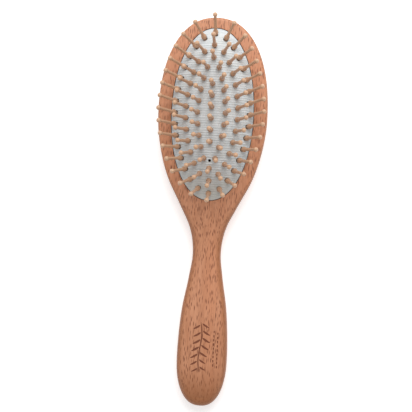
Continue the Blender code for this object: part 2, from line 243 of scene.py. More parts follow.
# a smooth curve through (place, value) stations, level at both ends: cubic Hermite spans
def throughStations(stations, at):
    places, values = np.array(sorted(stations)).T
    slopes = np.gradient(values, places)
    slopes[[0, -1]] = 0
    at = np.clip(at, places[0], places[-1])
    left = np.clip(np.searchsorted(places, at) - 1, 0, len(places) - 2)
    span = places[left + 1] - places[left]
    t = (at - places[left]) / span
    return (
        (1 + 2 * t) * (1 - t) ** 2 * values[left]
        + t * (1 - t) ** 2 * span * slopes[left]
        + t**2 * (3 - 2 * t) * values[left + 1]
        + t**2 * (t - 1) * span * slopes[left + 1]
    )


# the cushion's dome, which the wood, the rubber and the pins all follow
dome = {
    "halfWidth": 0.0235,
    "halfLength": 0.0494,
    "height": cushionHigh.z - woodFace,
    "power": 2.4,  # how the height falls from the crest
    "topPower": 6.8,  # the same along the middle, towards the top of the head
    "heelPower": 2.7,  # and towards the handle
    "rimPower": 2.1,  # the superellipse at the rim
    "crestPower": 2.0,  # and at the crest, where it is an ellipse
    "slopeStep": 1e-5,
    "halvings": 40,
}


# half width and half length of the oval this share of the way from the rim to the crest: the
# width shrinks evenly, and the length as a power of that, another power at each end
def ovalSizes(share, y):
    power = dome["power"] / np.where(y > 0, dome["topPower"], dome["heelPower"])
    return dome["halfWidth"] * (1 - share), dome["halfLength"] * (1 - share) ** power


# the oval's power, which goes evenly from the rim's to the crest's
def ovalPower(share):
    return dome["rimPower"] + (dome["crestPower"] - dome["rimPower"]) * share


# (x, y) round a superellipse 1 from its centre, clockwise from its top
def superellipse(power, sides):
    turn = 2 * math.pi * np.arange(sides) / sides
    across, along = np.sin(turn), np.cos(turn)
    x = np.sign(across) * np.abs(across) ** (2 / power)
    return x, np.sign(along) * np.abs(along) ** (2 / power)


# the share of the oval that passes through (x, y), found by halving the range from 0 to 1
def shareAt(x, y):
    low, high = np.zeros(np.shape(x)), np.ones(np.shape(x))
    for _ in range(dome["halvings"]):
        share = (low + high) / 2
        halfWidth, halfLength = ovalSizes(share, y)
        power = ovalPower(share)
        reach = (np.abs(x) / halfWidth) ** power + (np.abs(y) / halfLength) ** power
        inside = reach < 1
        low, high = np.where(inside, share, low), np.where(inside, high, share)
    return low


# the dome's height over the wood: the full height less what a power of the way out takes off
def crownHeight(share):
    return dome["height"] * (1 - (1 - share) ** dome["power"])


# points of the dome over (x, y), and the outward normals from the slopes both ways
def onDome(x, y):
    def heightAt(x, y):
        return crownHeight(shareAt(x, y))

    step = dome["slopeStep"]
    slopeX = (heightAt(x + step, y) - heightAt(x - step, y)) / (2 * step)
    slopeY = (heightAt(x, y + step) - heightAt(x, y - step)) / (2 * step)
    normals = np.stack([-slopeX, -slopeY, np.ones(np.shape(x))], axis=-1)
    points = np.stack([x, y, woodFace + heightAt(x, y)], axis=-1)
    return points, normals / np.linalg.norm(normals, axis=-1, keepdims=True)


# the rim's oval drawn in by an inset all round, one closed loop for each (inset, height) pair
def ovalRings(profile, sides):
    x, y = superellipse(dome["rimPower"], sides)
    rings = []
    for inset, height in profile:
        across, along = (dome["halfWidth"] - inset) * x, (dome["halfLength"] - inset) * y
        rings.append(np.column_stack([across, along, np.full(sides, height)]))
    return rings


# where the pins stand: three rings and a column on the crest
pinLayout = {
    "outer": {"halfWidth": 0.0210, "halfLength": 0.0452, "power": 1.8, "count": 32},
    "middle": {"halfWidth": 0.014335, "halfLength": 0.038038, "power": 1.72, "count": 26},
    "inner": {"halfWidth": 0.0076845, "halfLength": 0.031122, "power": 1.5, "count": 20},
    "topwardLean": 0.11,
    "arcs": 4,  # the outer ring moves as this many pieces
    "crestCount": 6,
    "crestPitch": 0.0065,
    "ringSamples": 720,
}


# points of the dome over (x, y), and the directions of pins there: the dome's normals, turned
# towards the top of the head by an amount that shrinks to nothing at the crest
def pinLines(x, y):
    points, directions = onDome(x, y)
    fallen = 1 - (points[:, 2] - woodFace) / dome["height"]
    directions[:, 1] += pinLayout["topwardLean"] * fallen
    return points, directions / np.linalg.norm(directions, axis=1, keepdims=True)


# evenly spaced pin lines round one ring, clockwise from the top of the oval
def ringSeats(ring):
    x, y = superellipse(ring["power"], pinLayout["ringSamples"])
    points, _ = onDome(ring["halfWidth"] * x, ring["halfLength"] * y)
    closed = np.vstack([points, points[:1]])
    steps = np.linalg.norm(np.diff(closed, axis=0), axis=1)
    travelled = np.concatenate([[0], np.cumsum(steps)])
    distances = travelled[-1] * np.arange(ring["count"]) / ring["count"]
    return pinLines(*[np.interp(distances, travelled, closed[:, axis]) for axis in (0, 1)])


# a straight column of pin lines down the middle of the dome
def crestSeats():
    count = pinLayout["crestCount"]
    along = pinLayout["crestPitch"] * (np.arange(count) - (count - 1) / 2)
    return pinLines(np.zeros(count), along)


seats = {ring: ringSeats(pinLayout[ring]) for ring in ("outer", "middle", "inner")}
seats["crest"] = crestSeats()
seatPoints = np.vstack([points for points, _ in seats.values()])
print("pins placed:", len(seatPoints))


# a turned shape: its (radius, height) profile at each of the sides round the axis
def turnedShape(profile, sides):
    turn = 2 * math.pi * np.arange(sides) / sides
    radius, height = np.array(profile).T[:, :, None]
    x = radius * np.cos(turn)
    y = radius * np.sin(turn)
    return np.stack([x, y, height + np.zeros(sides)], axis=-1).reshape(-1, 3)


# copies of a shape, one at each seat, its height along the seat's normal
def standing(shape, points, normals):
    sideways = np.cross([0.0, 1.0, 0.0], normals)
    sideways /= np.linalg.norm(sideways, axis=1, keepdims=True)
    axes = np.stack([sideways, np.cross(normals, sideways), normals], axis=1)
    return np.einsum("pk,ski->spi", shape, axes) + points[:, None, :]


# the faces of several copies of one grid
def repeatedFaces(faces, copies, pointsEach):
    return (faces[None] + pointsEach * np.arange(copies)[:, None, None]).reshape(-1, 4)


# a cutter of rods of one radius, which reach this far both ways along each seat's normal
def rodCutter(name, points, normals, radius, reach, sides):
    rod = turnedShape([(0, reach), (radius, reach), (radius, -reach), (0, -reach)], sides)
    faces = repeatedFaces(gridFaces(4, sides, True), len(points), 4 * sides)
    return newPiece(name, standing(rod, points, normals), faces, [])


# the wooden body: head, waist and handle in one
body = {
    "headPower": 2.25,
    "waistBelowCushion": 0.0302,
    "waistHalfWidth": 0.00815,
    "gripHalfWidth": 0.0144,
    "endRound": 0.0255,
    "endPower": 2.35,
    "endFall": 0.0020,
    "endFalls": 0.0240,
    # (share of the way, share of the widening) from the waist to the head, then to the end
    "shoulder": ((0.18, 0.105), (0.33, 0.345), (0.54, 0.70), (0.76, 0.915)),
    "grip": ((0.16, 0.26), (0.355, 0.73), (0.61, 1.0), (1.0, 0.90)),
    "frontDip": 0.0025,
    "backRise": 0.0012,
    "dipTowardsHead": 0.0260,
    "dipTowardsGrip": 0.0500,
    # each rounded edge's inset and depth
    "frontEdgeHead": (0.0020, 0.0020),
    "frontEdgeHandle": (0.0055, 0.0045),
    "backEdgeHead": (0.0090, 0.0060),
    "backEdgeHandle": (0.0058, 0.0060),
    "mostRounded": 0.9,  # the share of the thickness that the two edges may take
    "headSteps": 72,
    "sideSteps": 170,
    "endSteps": 48,
    "edgeSteps": 12,
    "acrossFlat": (0.0, 0.4, 0.75, 0.93, 0.985),
}
recess = {
    "depth": 0.0085,
    "gap": 0.0003,
    "softEdge": 0.0003,
    "softSteps": 6,
    "cutAbove": 0.002,
    "grooveWidth": 0.0017,
    "grooveTop": 0.0027,
    "grooveBottom": 0.0045,
    "sides": 320,
}
waistY = -(dome["halfLength"] + body["waistBelowCushion"])
handleLength = waistY - bodyLow.y


# the stations that the sides pass through, from the head's widest place to the handle's end
def sideStations():
    waist = body["waistHalfWidth"]
    shoulder, grip = bodyHigh.x - waist, body["gripHalfWidth"] - waist
    return (
        [(0.0, bodyHigh.x), (waistY, waist)]
        + [(waistY * (1 - far), waist + shoulder * wide) for far, wide in body["shoulder"]]
        + [(waistY - handleLength * far, waist + grip * wide) for far, wide in body["grip"]]
    )


# right-hand outline: a superellipse over the head, the smooth side, then another at the end
def bodyOutline():
    turn = np.linspace(0, math.pi / 2, body["headSteps"] + 1)
    headX = bodyHigh.x * np.sin(turn) ** (2 / body["headPower"])
    headY = bodyHigh.y * np.cos(turn) ** (2 / body["headPower"])
    endStart = bodyLow.y + body["endRound"]
    sideY = np.linspace(0, endStart, body["sideSteps"] + 1)[1:]
    sideX = throughStations(sideStations(), sideY)
    turn = np.linspace(math.pi / 2, 0, body["endSteps"] + 1)[1:]
    endY = bodyLow.y + body["endRound"] * (1 - np.cos(turn) ** (2 / body["endPower"]))
    endX = throughStations(sideStations(), endY) * np.sin(turn) ** (2 / body["endPower"])
    x, y = np.concatenate([headX, sideX, endX]), np.concatenate([headY, sideY, endY])
    x[[0, -1]] = 0
    return x, y


# 1 at the waist, fading to 0 towards the head and the grip as a squared cosine
def waistDip(y):
    reach = np.where(y > waistY, body["dipTowardsHead"], body["dipTowardsGrip"])
    return np.cos(math.pi / 2 * np.clip(np.abs(y - waistY) / reach, 0, 1)) ** 2


# the front's height: lower at the waist, and falling away by a square at the handle's end
def frontHeight(y):
    past = np.clip((bodyLow.y + body["endFalls"] - y) / body["endFalls"], 0, 1)
    return woodFace - body["frontDip"] * waistDip(y) - body["endFall"] * past**2


# inset and depth of a rounded edge, eased from the head's values to the handle's
def edgeSizes(y, head, handle):
    toHandle = 1 - easedStep(waistY, -dome["halfLength"] / 2, y)
    return [a + (b - a) * toHandle for a, b in zip(head, handle)]


# rows over the right half: the flat front from the centreline out, a quarter-ellipse edge
# down to the side, another quarter-ellipse under it, and the flat back to the centreline
def halfBodyRows():
    x, y = bodyOutline()
    onward = np.stack([np.gradient(x), np.gradient(y)], axis=1)
    normals = np.stack([-onward[:, 1], onward[:, 0]], axis=1)
    normals[0], normals[-1] = (0, 1), (0, -1)
    normals /= np.linalg.norm(normals, axis=1, keepdims=True)

    def moved(inset, height):
        place = np.stack([x, y], axis=1) - normals * np.reshape(inset, (-1, 1))
        place[[0, -1], 0] = 0
        return np.column_stack([place, height])

    frontInset, frontDepth = edgeSizes(y, body["frontEdgeHead"], body["frontEdgeHandle"])
    backInset, backDepth = edgeSizes(y, body["backEdgeHead"], body["backEdgeHandle"])
    front, back = frontHeight(y), body["backRise"] * waistDip(y)
    room = np.minimum(1, body["mostRounded"] * (front - back) / (frontDepth + backDepth))
    frontDepth, backDepth = frontDepth * room, backDepth * room
    turns = np.linspace(0, math.pi / 2, body["edgeSteps"] + 1)
    curve = [(1 - math.sin(turn), 1 - math.cos(turn)) for turn in turns]
    frontRows = [moved(frontInset * inward, front - frontDepth * down) for inward, down in curve]
    backRows = [moved(backInset * inward, back + backDepth * up) for inward, up in curve[::-1]]
    flatFront = [frontRows[0] * (across, 1, 1) for across in body["acrossFlat"]]
    flatBack = [backRows[-1] * (across, 1, 1) for across in body["acrossFlat"][::-1]]
    return flatFront + frontRows + backRows + flatBack


# the closed recess cutter: rings of the rim's oval from the floor, out into the groove, back
# to the wall and out over the softened edge
def recessCutter():
    gap, edge, groove = recess["gap"], recess["softEdge"], recess["grooveWidth"]
    low, high = woodFace - recess["grooveBottom"], woodFace - recess["grooveTop"]
    soft = [
        (-gap - edge * (1 - math.cos(turn)), woodFace - edge * (1 - math.sin(turn)))
        for turn in np.linspace(0, math.pi / 2, recess["softSteps"])
    ]
    profile = [(-gap, woodFace - recess["depth"]), (-gap, low), (-groove, low)]
    profile += [(-groove, high), (-gap, high)]
    profile += soft + [(soft[-1][0], woodFace + recess["cutAbove"])]
    rings = ovalRings(profile, recess["sides"])
    rings = [rings[0] * (0, 0, 1)] + rings + [rings[-1] * (0, 0, 1)]
    faces = gridFaces(len(rings), recess["sides"], True)
    return newPiece("recessCutter", np.array(rings), faces, [])


# the engraved sprig: a stem, leaves in pairs, and two rows of seeds beside it
sprig = {
    "centre": (-0.0010, -0.1340),
    "length": 0.0290,
    "sway": 0.0008,
    "stemHalfWidth": 0.0005,
    "stemEnds": 3,  # how quickly the stem reaches its width
    "leafPairs": 7,
    "leafLength": 0.0050,
    "leafHalfWidth": 0.0011,
    "leafLean": 0.85,
    "leafCurl": 0.35,
    "leafClearance": 0.0007,
    "leafTaper": 0.35,
    "leafStagger": 0.12,
    "firstLeaf": 0.35,
    "leafSizes": (0.62, 0.38),  # the least size, and what a sine adds to it
    "leafSwell": (0.2, 0.75),  # where that sine starts, and how much of it is used
    "seedRows": ((0.0068, -0.1345), (0.0090, -0.1354)),
    "seedCount": 9,
    "seedPitch": 0.0024,
    "seedLength": 0.0015,
    "seedHalfWidth": 0.0006,
    "depth": 0.00016,
    "cutAbove": 0.0006,
    "topWidth": 1.1,  # the groove's width at its top and bottom, over the stroke's own
    "bottomWidth": 0.55,
    "endClear": 0.02,  # the share left off each end of a stroke's sine
    "steps": 14,
}


# a groove cutter carried along a path on the front: a trapezoid whose half width is given at
# each point, wide above the wood and narrower at the bottom of the groove
def strokePoints(path, halfWidths):
    onward = np.gradient(path, axis=0)
    onward /= np.linalg.norm(onward, axis=1, keepdims=True)
    sideways = np.column_stack([-onward[:, 1], onward[:, 0]])
    front = frontHeight(path[:, 1])
    top, bottom = sprig["topWidth"], sprig["bottomWidth"]
    above, below = sprig["cutAbove"], -sprig["depth"]
    corners = []
    for across, height in ((-top, above), (top, above), (bottom, below), (-bottom, below)):
        place = path + sideways * (across * halfWidths)[:, None]
        corners.append(np.column_stack([place, front + height]))
    rows = np.stack(corners, axis=1)
    first, last = rows[0].mean(axis=0), rows[-1].mean(axis=0)
    return np.concatenate([np.tile(first, (1, 4, 1)), rows, np.tile(last, (1, 4, 1))])


# a leaf's or seed's path: straight from its foot along a heading, bending by curl on the way
def leafPath(foot, heading, length, curl):
    along = np.linspace(0, 1, sprig["steps"])
    turning = heading + curl * along
    steps = np.column_stack([np.sin(turning), np.cos(turning)]) * length / (sprig["steps"] - 1)
    return np.array(foot) + np.cumsum(steps, axis=0) - steps[0]


# the whole sprig as one cutter: the stem sways by a sine, a leaf's width is the root of a sine
# that tapers to its tip, and leaves stand in pairs down the stem with each pair a little apart
def sprigCutter(burnt):
    along = np.linspace(0, 1, sprig["steps"])
    rounded = np.sin(math.pi * (sprig["endClear"] + (1 - 2 * sprig["endClear"]) * along))
    swelling = np.sqrt(rounded) * (1 - sprig["leafTaper"] * along)
    centreX, centreY = sprig["centre"]
    stemY = centreY + sprig["length"] * (0.5 - along)
    stemX = centreX + sprig["sway"] * np.sin(2 * math.pi * along)
    stemWidths = sprig["stemHalfWidth"] * np.clip(rounded * sprig["stemEnds"], 0, 1)
    strokes = [strokePoints(np.column_stack([stemX, stemY]), stemWidths)]
    leastSize, addedSize = sprig["leafSizes"]
    swellStart, swellSpan = sprig["leafSwell"]
    for pair in range(sprig["leafPairs"]):
        share = (pair + sprig["firstLeaf"]) / sprig["leafPairs"]
        footX = centreX + sprig["sway"] * math.sin(2 * math.pi * share)
        footY = centreY + sprig["length"] * (0.5 - share)
        size = leastSize + addedSize * math.sin(math.pi * (swellStart + swellSpan * share))
        length = sprig["leafLength"] * size
        for side in (-1, 1):
            offset = sprig["leafStagger"] * side * sprig["length"] / sprig["leafPairs"]
            foot = (footX + side * sprig["leafClearance"], footY + offset)
            heading = math.pi - side * sprig["leafLean"]
            path = leafPath(foot, heading, length, -side * sprig["leafCurl"])
            strokes.append(strokePoints(path, sprig["leafHalfWidth"] * size * swelling))
    for rowX, rowY in sprig["seedRows"]:
        for seed in range(sprig["seedCount"]):
            offset = sprig["seedPitch"] * (seed - (sprig["seedCount"] - 1) / 2)
            foot = (rowX, rowY + offset + sprig["seedLength"] / 2)
            path = leafPath(foot, math.pi, sprig["seedLength"], 0.0)
            strokes.append(strokePoints(path, sprig["seedHalfWidth"] * swelling))
    rows = sprig["steps"] + 2
    faces = repeatedFaces(gridFaces(rows, 4, True), len(strokes), rows * 4)
    cutter = newPiece("sprigCutter", np.array(strokes), faces, [burnt, burnt])
    burntFaces = np.ones(len(cutter.data.polygons), np.int32)
    cutter.data.polygons.foreach_set("material_index", burntFaces)
    return cutter


# each pattern's noise, and the tone it lays over the ones before it; tones are screen colours
beechLook = {
    "constants": {"Coat Weight": 0.08, "Coat Roughness": 0.35, "IOR": 1.45},
    "broad": {
        "stretch": (1, 0.16, 1), "scale": 75, "detail": 3, "roughness": 0.5, "distortion": 0.6,
    },
    "streak": {"stretch": (1, 0.06, 1), "scale": 420, "detail": 3, "roughness": 0.6},
    "fibre": {"stretch": (1, 0.05, 1), "scale": 2000, "detail": 1, "roughness": 0.5},
    "fleck": {"stretch": (1, 0.13, 1), "scale": 1500, "detail": 1, "roughness": 0.4},
    "dash": {"stretch": (1, 0.19, 1), "scale": 1120.0, "band": (0.14, 0.44)},
    "dashDepth": (0.4, 0.8),  # a dash's strength where streaks are dark, and what pale ones add
    "streakTone": {"band": (0.34, 0.66), "tones": ((196, 133, 97), (208, 146, 110))},
    "broadTone": {"band": (0.42, 0.72), "amount": 0.5, "tone": (210, 139, 99)},
    "fibreTone": {"band": (0.4, 0.65), "amount": 0.22, "tone": (150, 92, 60)},
    "dashTone": (122, 68, 42),
    "fleckTone": {"band": (0.65, 0.71), "amount": 0.6, "tone": (112, 64, 40)},
    # painted shade: the rounded edges and the handle's end darker, as where they turn from the
    # light
    "edgePaintedShade": {"amount": 0.78, "tone": (150, 90, 47)},
    # painted shadow: the seam round the rubber darkened, as where the gap lies in shade
    "seamPaintedShadow": {"amount": 0.8, "tone": (92, 58, 42)},
    "roughness": (0.40, 0.16),  # the least, and what the pale streaks add
    "relief": (0.6, 0.8),  # how much the dashes and the flecks sink
    "reliefDepth": 0.00004,
    # where the painted shade of the edges and the painted shadow of the seam lie
    "seamMargin": (0.0022, 0.0032),
    "underRecess": 0.0005,
    "edgeDepth": 0.0020,
    "backFace": (0.0005, 0.0035),
    "endReach": 0.028,
}
burntLook = {
    "roughness": 0.75,
    "scorch": {"scale": 1300, "detail": 3, "roughness": 0.6},
    "tones": ((104, 54, 32), (142, 82, 54)),
}


# beech: long soft streaks, fine fibres, broad warm bands and short dark flecks, all drawn out
# along the handle; painted shade darkens the rounded edges and the handle's end
def beechFinish():
    look = beechLook
    wood = Finish("beech", look["constants"])
    place = wood.objectPlace()
    broad = wood.noise(place, look["broad"])
    streak = wood.noise(place, look["streak"])
    fibre = wood.noise(place, look["fibre"])
    fleck = wood.noise(place, look["fleck"])
    dashPlace = wood.stretched(place, look["dash"]["stretch"])
    cells = {"Vector": dashPlace, "Scale": look["dash"]["scale"]}
    fromCentre = wood.node("TexVoronoi", {}, cells, "Distance")
    dash = 1 - wood.band(fromCentre, *look["dash"]["band"])
    dashLeast, dashMore = look["dashDepth"]
    colour = wood.tones(streak, look["streakTone"])
    colour = wood.layer(colour, broad, look["broadTone"])
    colour = wood.layer(colour, fibre, look["fibreTone"])
    dashMask = dash * (dashLeast + dashMore * streak)
    colour = wood.blend(dashMask, colour, shade(*look["dashTone"]))
    colour = wood.layer(colour, fleck, look["fleckTone"])
    # painted shade over the rounded edges and the handle's end
    colour = wood.layer(colour, wood.attribute("paintedEdgeShade"), look["edgePaintedShade"])
    # painted shadow in the seam round the rubber
    colour = wood.layer(colour, wood.attribute("paintedSeamShadow"), look["seamPaintedShadow"])
    leastRough, moreRough = look["roughness"]
    dashSink, fleckSink = look["relief"]
    fleckMask = wood.band(fleck, *look["fleckTone"]["band"])
    relief = dashSink * (1 - dash) + fleckSink * (1 - fleckMask)
    wood.plug(wood.surface, {"Base Color": colour, "Roughness": leastRough + moreRough * streak})
    wood.plug(wood.surface, {"Normal": wood.bump(relief, look["reliefDepth"])})
    return wood.material


# the bottom of the burnt grooves: dark brown, unevenly scorched
def burntFinish():
    wood = Finish("burntGroove", {"Roughness": burntLook["roughness"]})
    scorch = wood.noise(wood.objectPlace(), burntLook["scorch"])
    dark, pale = burntLook["tones"]
    colour = wood.blend(scorch, shade(*dark), shade(*pale))
    wood.plug(wood.surface, {"Base Color": colour})
    return wood.material


# how dark the wood is painted at each point: painted shade on its edges and handle end, and
# painted shadow in the seam round the rubber.
# The oval round the recess, a margin wider than the rim, tells one from the other
def shadeBody(mesh):
    x, y, z = placesOf(mesh).T
    below = frontHeight(y) - z
    sideMargin, endMargin = beechLook["seamMargin"]
    power = dome["rimPower"]
    reach = (np.abs(x) / (dome["halfWidth"] + sideMargin)) ** power
    reach = reach + (np.abs(y) / (dome["halfLength"] + endMargin)) ** power
    outside = (reach > 1) | (below > recess["depth"] + beechLook["underRecess"])
    # painted shade on the rounded edges, faded out on the flat back, and over the handle's end
    edge = easedStep(0.0, beechLook["edgeDepth"], below) * outside
    edge = edge * easedStep(*beechLook["backFace"], z)
    end = easedStep(beechLook["endReach"], 0.0, y - bodyLow.y)
    # painted shadow in the seam, on the recess's softened edge round the rubber
    seam = easedStep(0.0, recess["softEdge"], below) * ~outside
    setAttribute(mesh, "paintedEdgeShade", np.maximum(edge, end))
    setAttribute(mesh, "paintedSeamShadow", seam)


# the body: the right half's rows, then the same rows mirrored back to the start
def makeBody():
    beech, burnt = beechFinish(), burntFinish()
    half = np.array(halfBodyRows())
    rows = np.concatenate([half, half[::-1] * (-1, 1, 1)])
    faces = gridFaces(rows.shape[0], rows.shape[1])
    piece = newPiece("brushBody", rows, faces, [beech, burnt])
    carve(piece, [recessCutter(), sprigCutter(burnt)])
    shadeBody(piece.data)
    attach(piece, "brush_body")
    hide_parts("brush_body")
    print("body made:", len(piece.data.polygons), "faces")


# the rubber cushion: a ribbed dome, and the flange that holds it in the wood
rubber = {
    "wall": 0.0012,
    "rows": 521,
    "columns": 72,
    "ribPitch": 0.00138,
    "ribDepth": 0.0002,
    "plainRim": 0.06,  # the share of the way up in which the ribs fade in
    "withinRim": 0.99999,  # keeps the rim's points just inside the oval
    "dimpleDepth": 0.00018,
    "dimpleRadius": 0.0022,
    "pinHole": 0.00118,
    "outerPinHole": 0.00145,
    "pinHoleSides": 20,
    "vent": 0.00085,
    "ventY": -0.0270,
    "ventSides": 24,
    "cutReach": 2.5,  # in walls, both ways from the surface
    "pressedShare": 0.655,
    "flangeWidth": 0.0014,
    "skirtTop": 0.0008,
    "skirtDepth": 0.0030,
    "flangeSides": 256,
}
rubberLook = {
    "streak": {"stretch": (0.07, 1, 0.3), "scale": 900, "detail": 3, "roughness": 0.6},
    "cloud": {"scale": 110, "detail": 3, "roughness": 0.5},
    "speck": {"scale": 5200, "detail": 2, "roughness": 0.5},
    "streakTone": {"band": (0.3, 0.7), "tones": ((199, 206, 208), (217, 223, 226))},
    "cloudTone": {"band": (0.4, 0.7), "amount": 0.4, "tone": (209, 212, 209)},
    # painted shade: the heel darker and warmer, where the dome falls away from the light
    "heelShadeBand": (-0.050, -0.025),  # warmer below the first of these y, not above the second
    "heelPaintedShade": {"amount": 0.55, "tone": (194, 187, 172)},
    "ior": 1.45,
    "roughness": (0.5, 0.15),  # the least, and what the clouds add
    "relief": (0.5, 0.3),  # how much the streaks and the specks stand out
    "reliefDepth": 0.00003,
}


# grey rubber with faint streaks across it, along the moulded ribs, and painted shade, darker and
# warmer, at the heel
def rubberFinish():
    look = rubberLook
    grey = Finish("cushionRubber", {"IOR": look["ior"]})
    place = grey.objectPlace()
    streak = grey.noise(place, look["streak"])
    cloud = grey.noise(place, look["cloud"])
    speck = grey.noise(place, look["speck"])
    placeY = grey.node("SeparateXYZ", {}, {"Vector": place}, "Y")
    colour = grey.tones(streak, look["streakTone"])
    colour = grey.layer(colour, cloud, look["cloudTone"])
    # painted shade towards the heel
    colour = grey.layer(colour, 1 - grey.band(placeY, *look["heelShadeBand"]), look["heelPaintedShade"])
    leastRough, moreRough = look["roughness"]
    streakRise, speckRise = look["relief"]
    relief = streakRise * streak + speckRise * speck
    grey.plug(grey.surface, {"Base Color": colour, "Roughness": leastRough + moreRough * cloud})
    grey.plug(grey.surface, {"Normal": grey.bump(relief, look["reliefDepth"])})
    return grey.material


# the dome's two skins: rows of constant y whose ends meet the rim's oval. Ribs follow a cosine
# of y, and each pin pulls the rubber down round itself by a bell of the distance's fourth power
def domeSkins():
    y = dome["halfLength"] * np.linspace(1, -1, rubber["rows"])
    power = dome["rimPower"]
    left = np.clip(1 - np.abs(y / dome["halfLength"]) ** power, 0, 1)
    halfWidth = dome["halfWidth"] * left ** (1 / power)
    across = np.sin(np.linspace(-math.pi / 2, math.pi / 2, rubber["columns"]))
    x, y = halfWidth[:, None] * across, np.repeat(y[:, None], rubber["columns"], axis=1)
    points, normals = onDome(x * rubber["withinRim"], y * rubber["withinRim"])
    fromRim = easedStep(0.0, rubber["plainRim"], shareAt(x, y))
    ribs = rubber["ribDepth"] * (np.cos(2 * math.pi * y / rubber["ribPitch"]) - 1) / 2
    fromPins = np.stack([x, y], axis=-1)[:, :, None] - seatPoints[:, :2]
    distance = np.linalg.norm(fromPins, axis=-1) / rubber["dimpleRadius"]
    dimples = rubber["dimpleDepth"] * np.exp(-(distance**4)).sum(axis=-1)
    outer = points + normals * ((ribs - dimples) * fromRim)[..., None]
    inner = points - normals * rubber["wall"]
    return outer, inner


# the dome: each row runs over the outer skin and back under the inner one, then the pins' holes
# and the vent are cut
def makeCushion():
    material = rubberFinish()
    outer, inner = domeSkins()
    loops = np.concatenate([outer, inner[:, ::-1]], axis=1)
    faces = gridFaces(rubber["rows"], 2 * rubber["columns"], True)
    piece = newPiece("cushionDome", loops, faces, [material], meshing["turnedSharpAngle"])
    reach, sides = rubber["cutReach"] * rubber["wall"], rubber["pinHoleSides"]
    cutters = []
    for ring, (ringPoints, ringNormals) in seats.items():
        radius = rubber["outerPinHole" if ring == "outer" else "pinHole"]
        cutters.append(rodCutter(f"{ring}Holes", ringPoints, ringNormals, radius, reach, sides))
    ventSeat = onDome(np.zeros(1), np.array([rubber["ventY"]]))
    cutters.append(rodCutter("ventHole", *ventSeat, rubber["vent"], reach, rubber["ventSides"]))
    carve(piece, cutters, meshing["turnedSharpAngle"])
    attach(piece, "brush_body")
    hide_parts("cushion")
    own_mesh(piece)
    print("cushion made:", len(piece.data.polygons), "faces")
    makeFlange(material)


# the skirt down the recess wall and the flange in its groove, as closed rings of the rim's oval
def makeFlange(material):
    wall, width = rubber["wall"], rubber["flangeWidth"]
    top, low = woodFace - rubber["skirtTop"], woodFace - rubber["skirtDepth"]
    profile = [(0, top), (0, low), (-width, low), (-width, low - wall)]
    profile += [(wall, low - wall), (wall, top), (0, top)]
    rings = ovalRings(profile, rubber["flangeSides"])
    faces = gridFaces(len(rings), rubber["flangeSides"], True)
    piece = newPiece("cushionFlange", np.array(rings), faces, [material])
    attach(piece, "brush_body")
    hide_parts("cushion")


# the turned pins: a ball tip, a thin shaft, and a bulb that stands on the rubber
pin = {
    "length": 0.0156,
    "ballRadius": 0.00135,
    "shaftTop": 0.0008,
    "neckRadius": 0.0008,
    "bulb": (  # (height, radius) up from the neck
        (0.0004, 0.0008), (0.0007, 0.00132), (0.0011, 0.00153), (0.0017, 0.0016),
        (0.0024, 0.00146), (0.0030, 0.00120), (0.0036, 0.00098), (0.0044, 0.00092),
    ),
    "footRadius": 0.0018,
    "footBelow": 0.0018,
    "footThickness": 0.0011,
    "ballLeft": 0.12,  # how far short of the shaft the ball's curve stops, in radians
    "ballSteps": 9,
    "shaftStart": 1.15,  # in ball radii under the ball's centre
    "bulbSteps": 15,
    "sides": 20,
}
pinLook = {
    "constants": {"Coat Weight": 0.1, "Coat Roughness": 0.25, "IOR": 1.45},
    "streak": {"stretch": (1, 1, 0.06), "scale": 1900, "detail": 3, "roughness": 0.6},
    "drift": {"scale": 28, "detail": 1, "roughness": 0.5},
    "streakTone": {"band": (0.32, 0.68), "tones": ((193, 153, 120), (210, 173, 141))},
    "driftTone": {"band": (0.35, 0.65), "amount": 0.45, "tone": (200, 156, 125)},
    # painted shade low on the pins, by the rubber
    "lowPaintedShade": {"amount": 0.4, "tone": (170, 134, 108)},
    "paintedShadeBand": (0.0028, 0.0046),  # darker below the first height, not above the second
    "grainStep": (0.618, 0.325, 0.147),  # how far the grain moves on from one pin to the next
    "roughness": (0.34, 0.14),  # the least, and what the pale streaks add
    "reliefDepth": 0.00003,
}


# (radius, height) down a pin: a ball, a tapering shaft, the bulb, the neck and the foot
def pinProfile():
    ballCentre = pin["length"] - pin["ballRadius"]
    radius = pin["ballRadius"]
    lastTurn = math.pi - math.asin(pin["shaftTop"] / radius) - pin["ballLeft"]
    turn = np.linspace(0, lastTurn, pin["ballSteps"])
    ball = list(zip(radius * np.sin(turn), ballCentre + radius * np.cos(turn)))
    shaft = [(pin["shaftTop"], ballCentre - pin["shaftStart"] * radius)]
    stations = sorted(pin["bulb"])
    heights = np.linspace(stations[-1][0], stations[0][0], pin["bulbSteps"])
    bulb = list(zip(throughStations(stations, heights), heights))
    footTop, thickness = -pin["footBelow"], pin["footThickness"]
    foot = [(pin["neckRadius"], footTop), (pin["footRadius"], footTop - thickness / 2)]
    foot += [(0.0, footTop - thickness)]
    return ball + shaft + bulb + foot


# pale turned wood: streaks along the pin, painted shade on the bulb by the rubber, each pin its
# own tone
def pinFinish():
    look = pinLook
    wood = Finish("pinWood", look["constants"])
    place = wood.attribute("grainPlace", "Vector")
    streak = wood.noise(place, look["streak"])
    drift = wood.noise(place, look["drift"])
    colour = wood.tones(streak, look["streakTone"])
    colour = wood.layer(colour, drift, look["driftTone"])
    # painted shade low on the pin, by the rubber among the crowded pins
    colour = wood.layer(colour, wood.attribute("paintedShadeNearRubber"), look["lowPaintedShade"])
    leastRough, moreRough = look["roughness"]
    wood.plug(wood.surface, {"Base Color": colour, "Roughness": leastRough + moreRough * streak})
    wood.plug(wood.surface, {"Normal": wood.bump(streak, look["reliefDepth"])})
    return wood.material


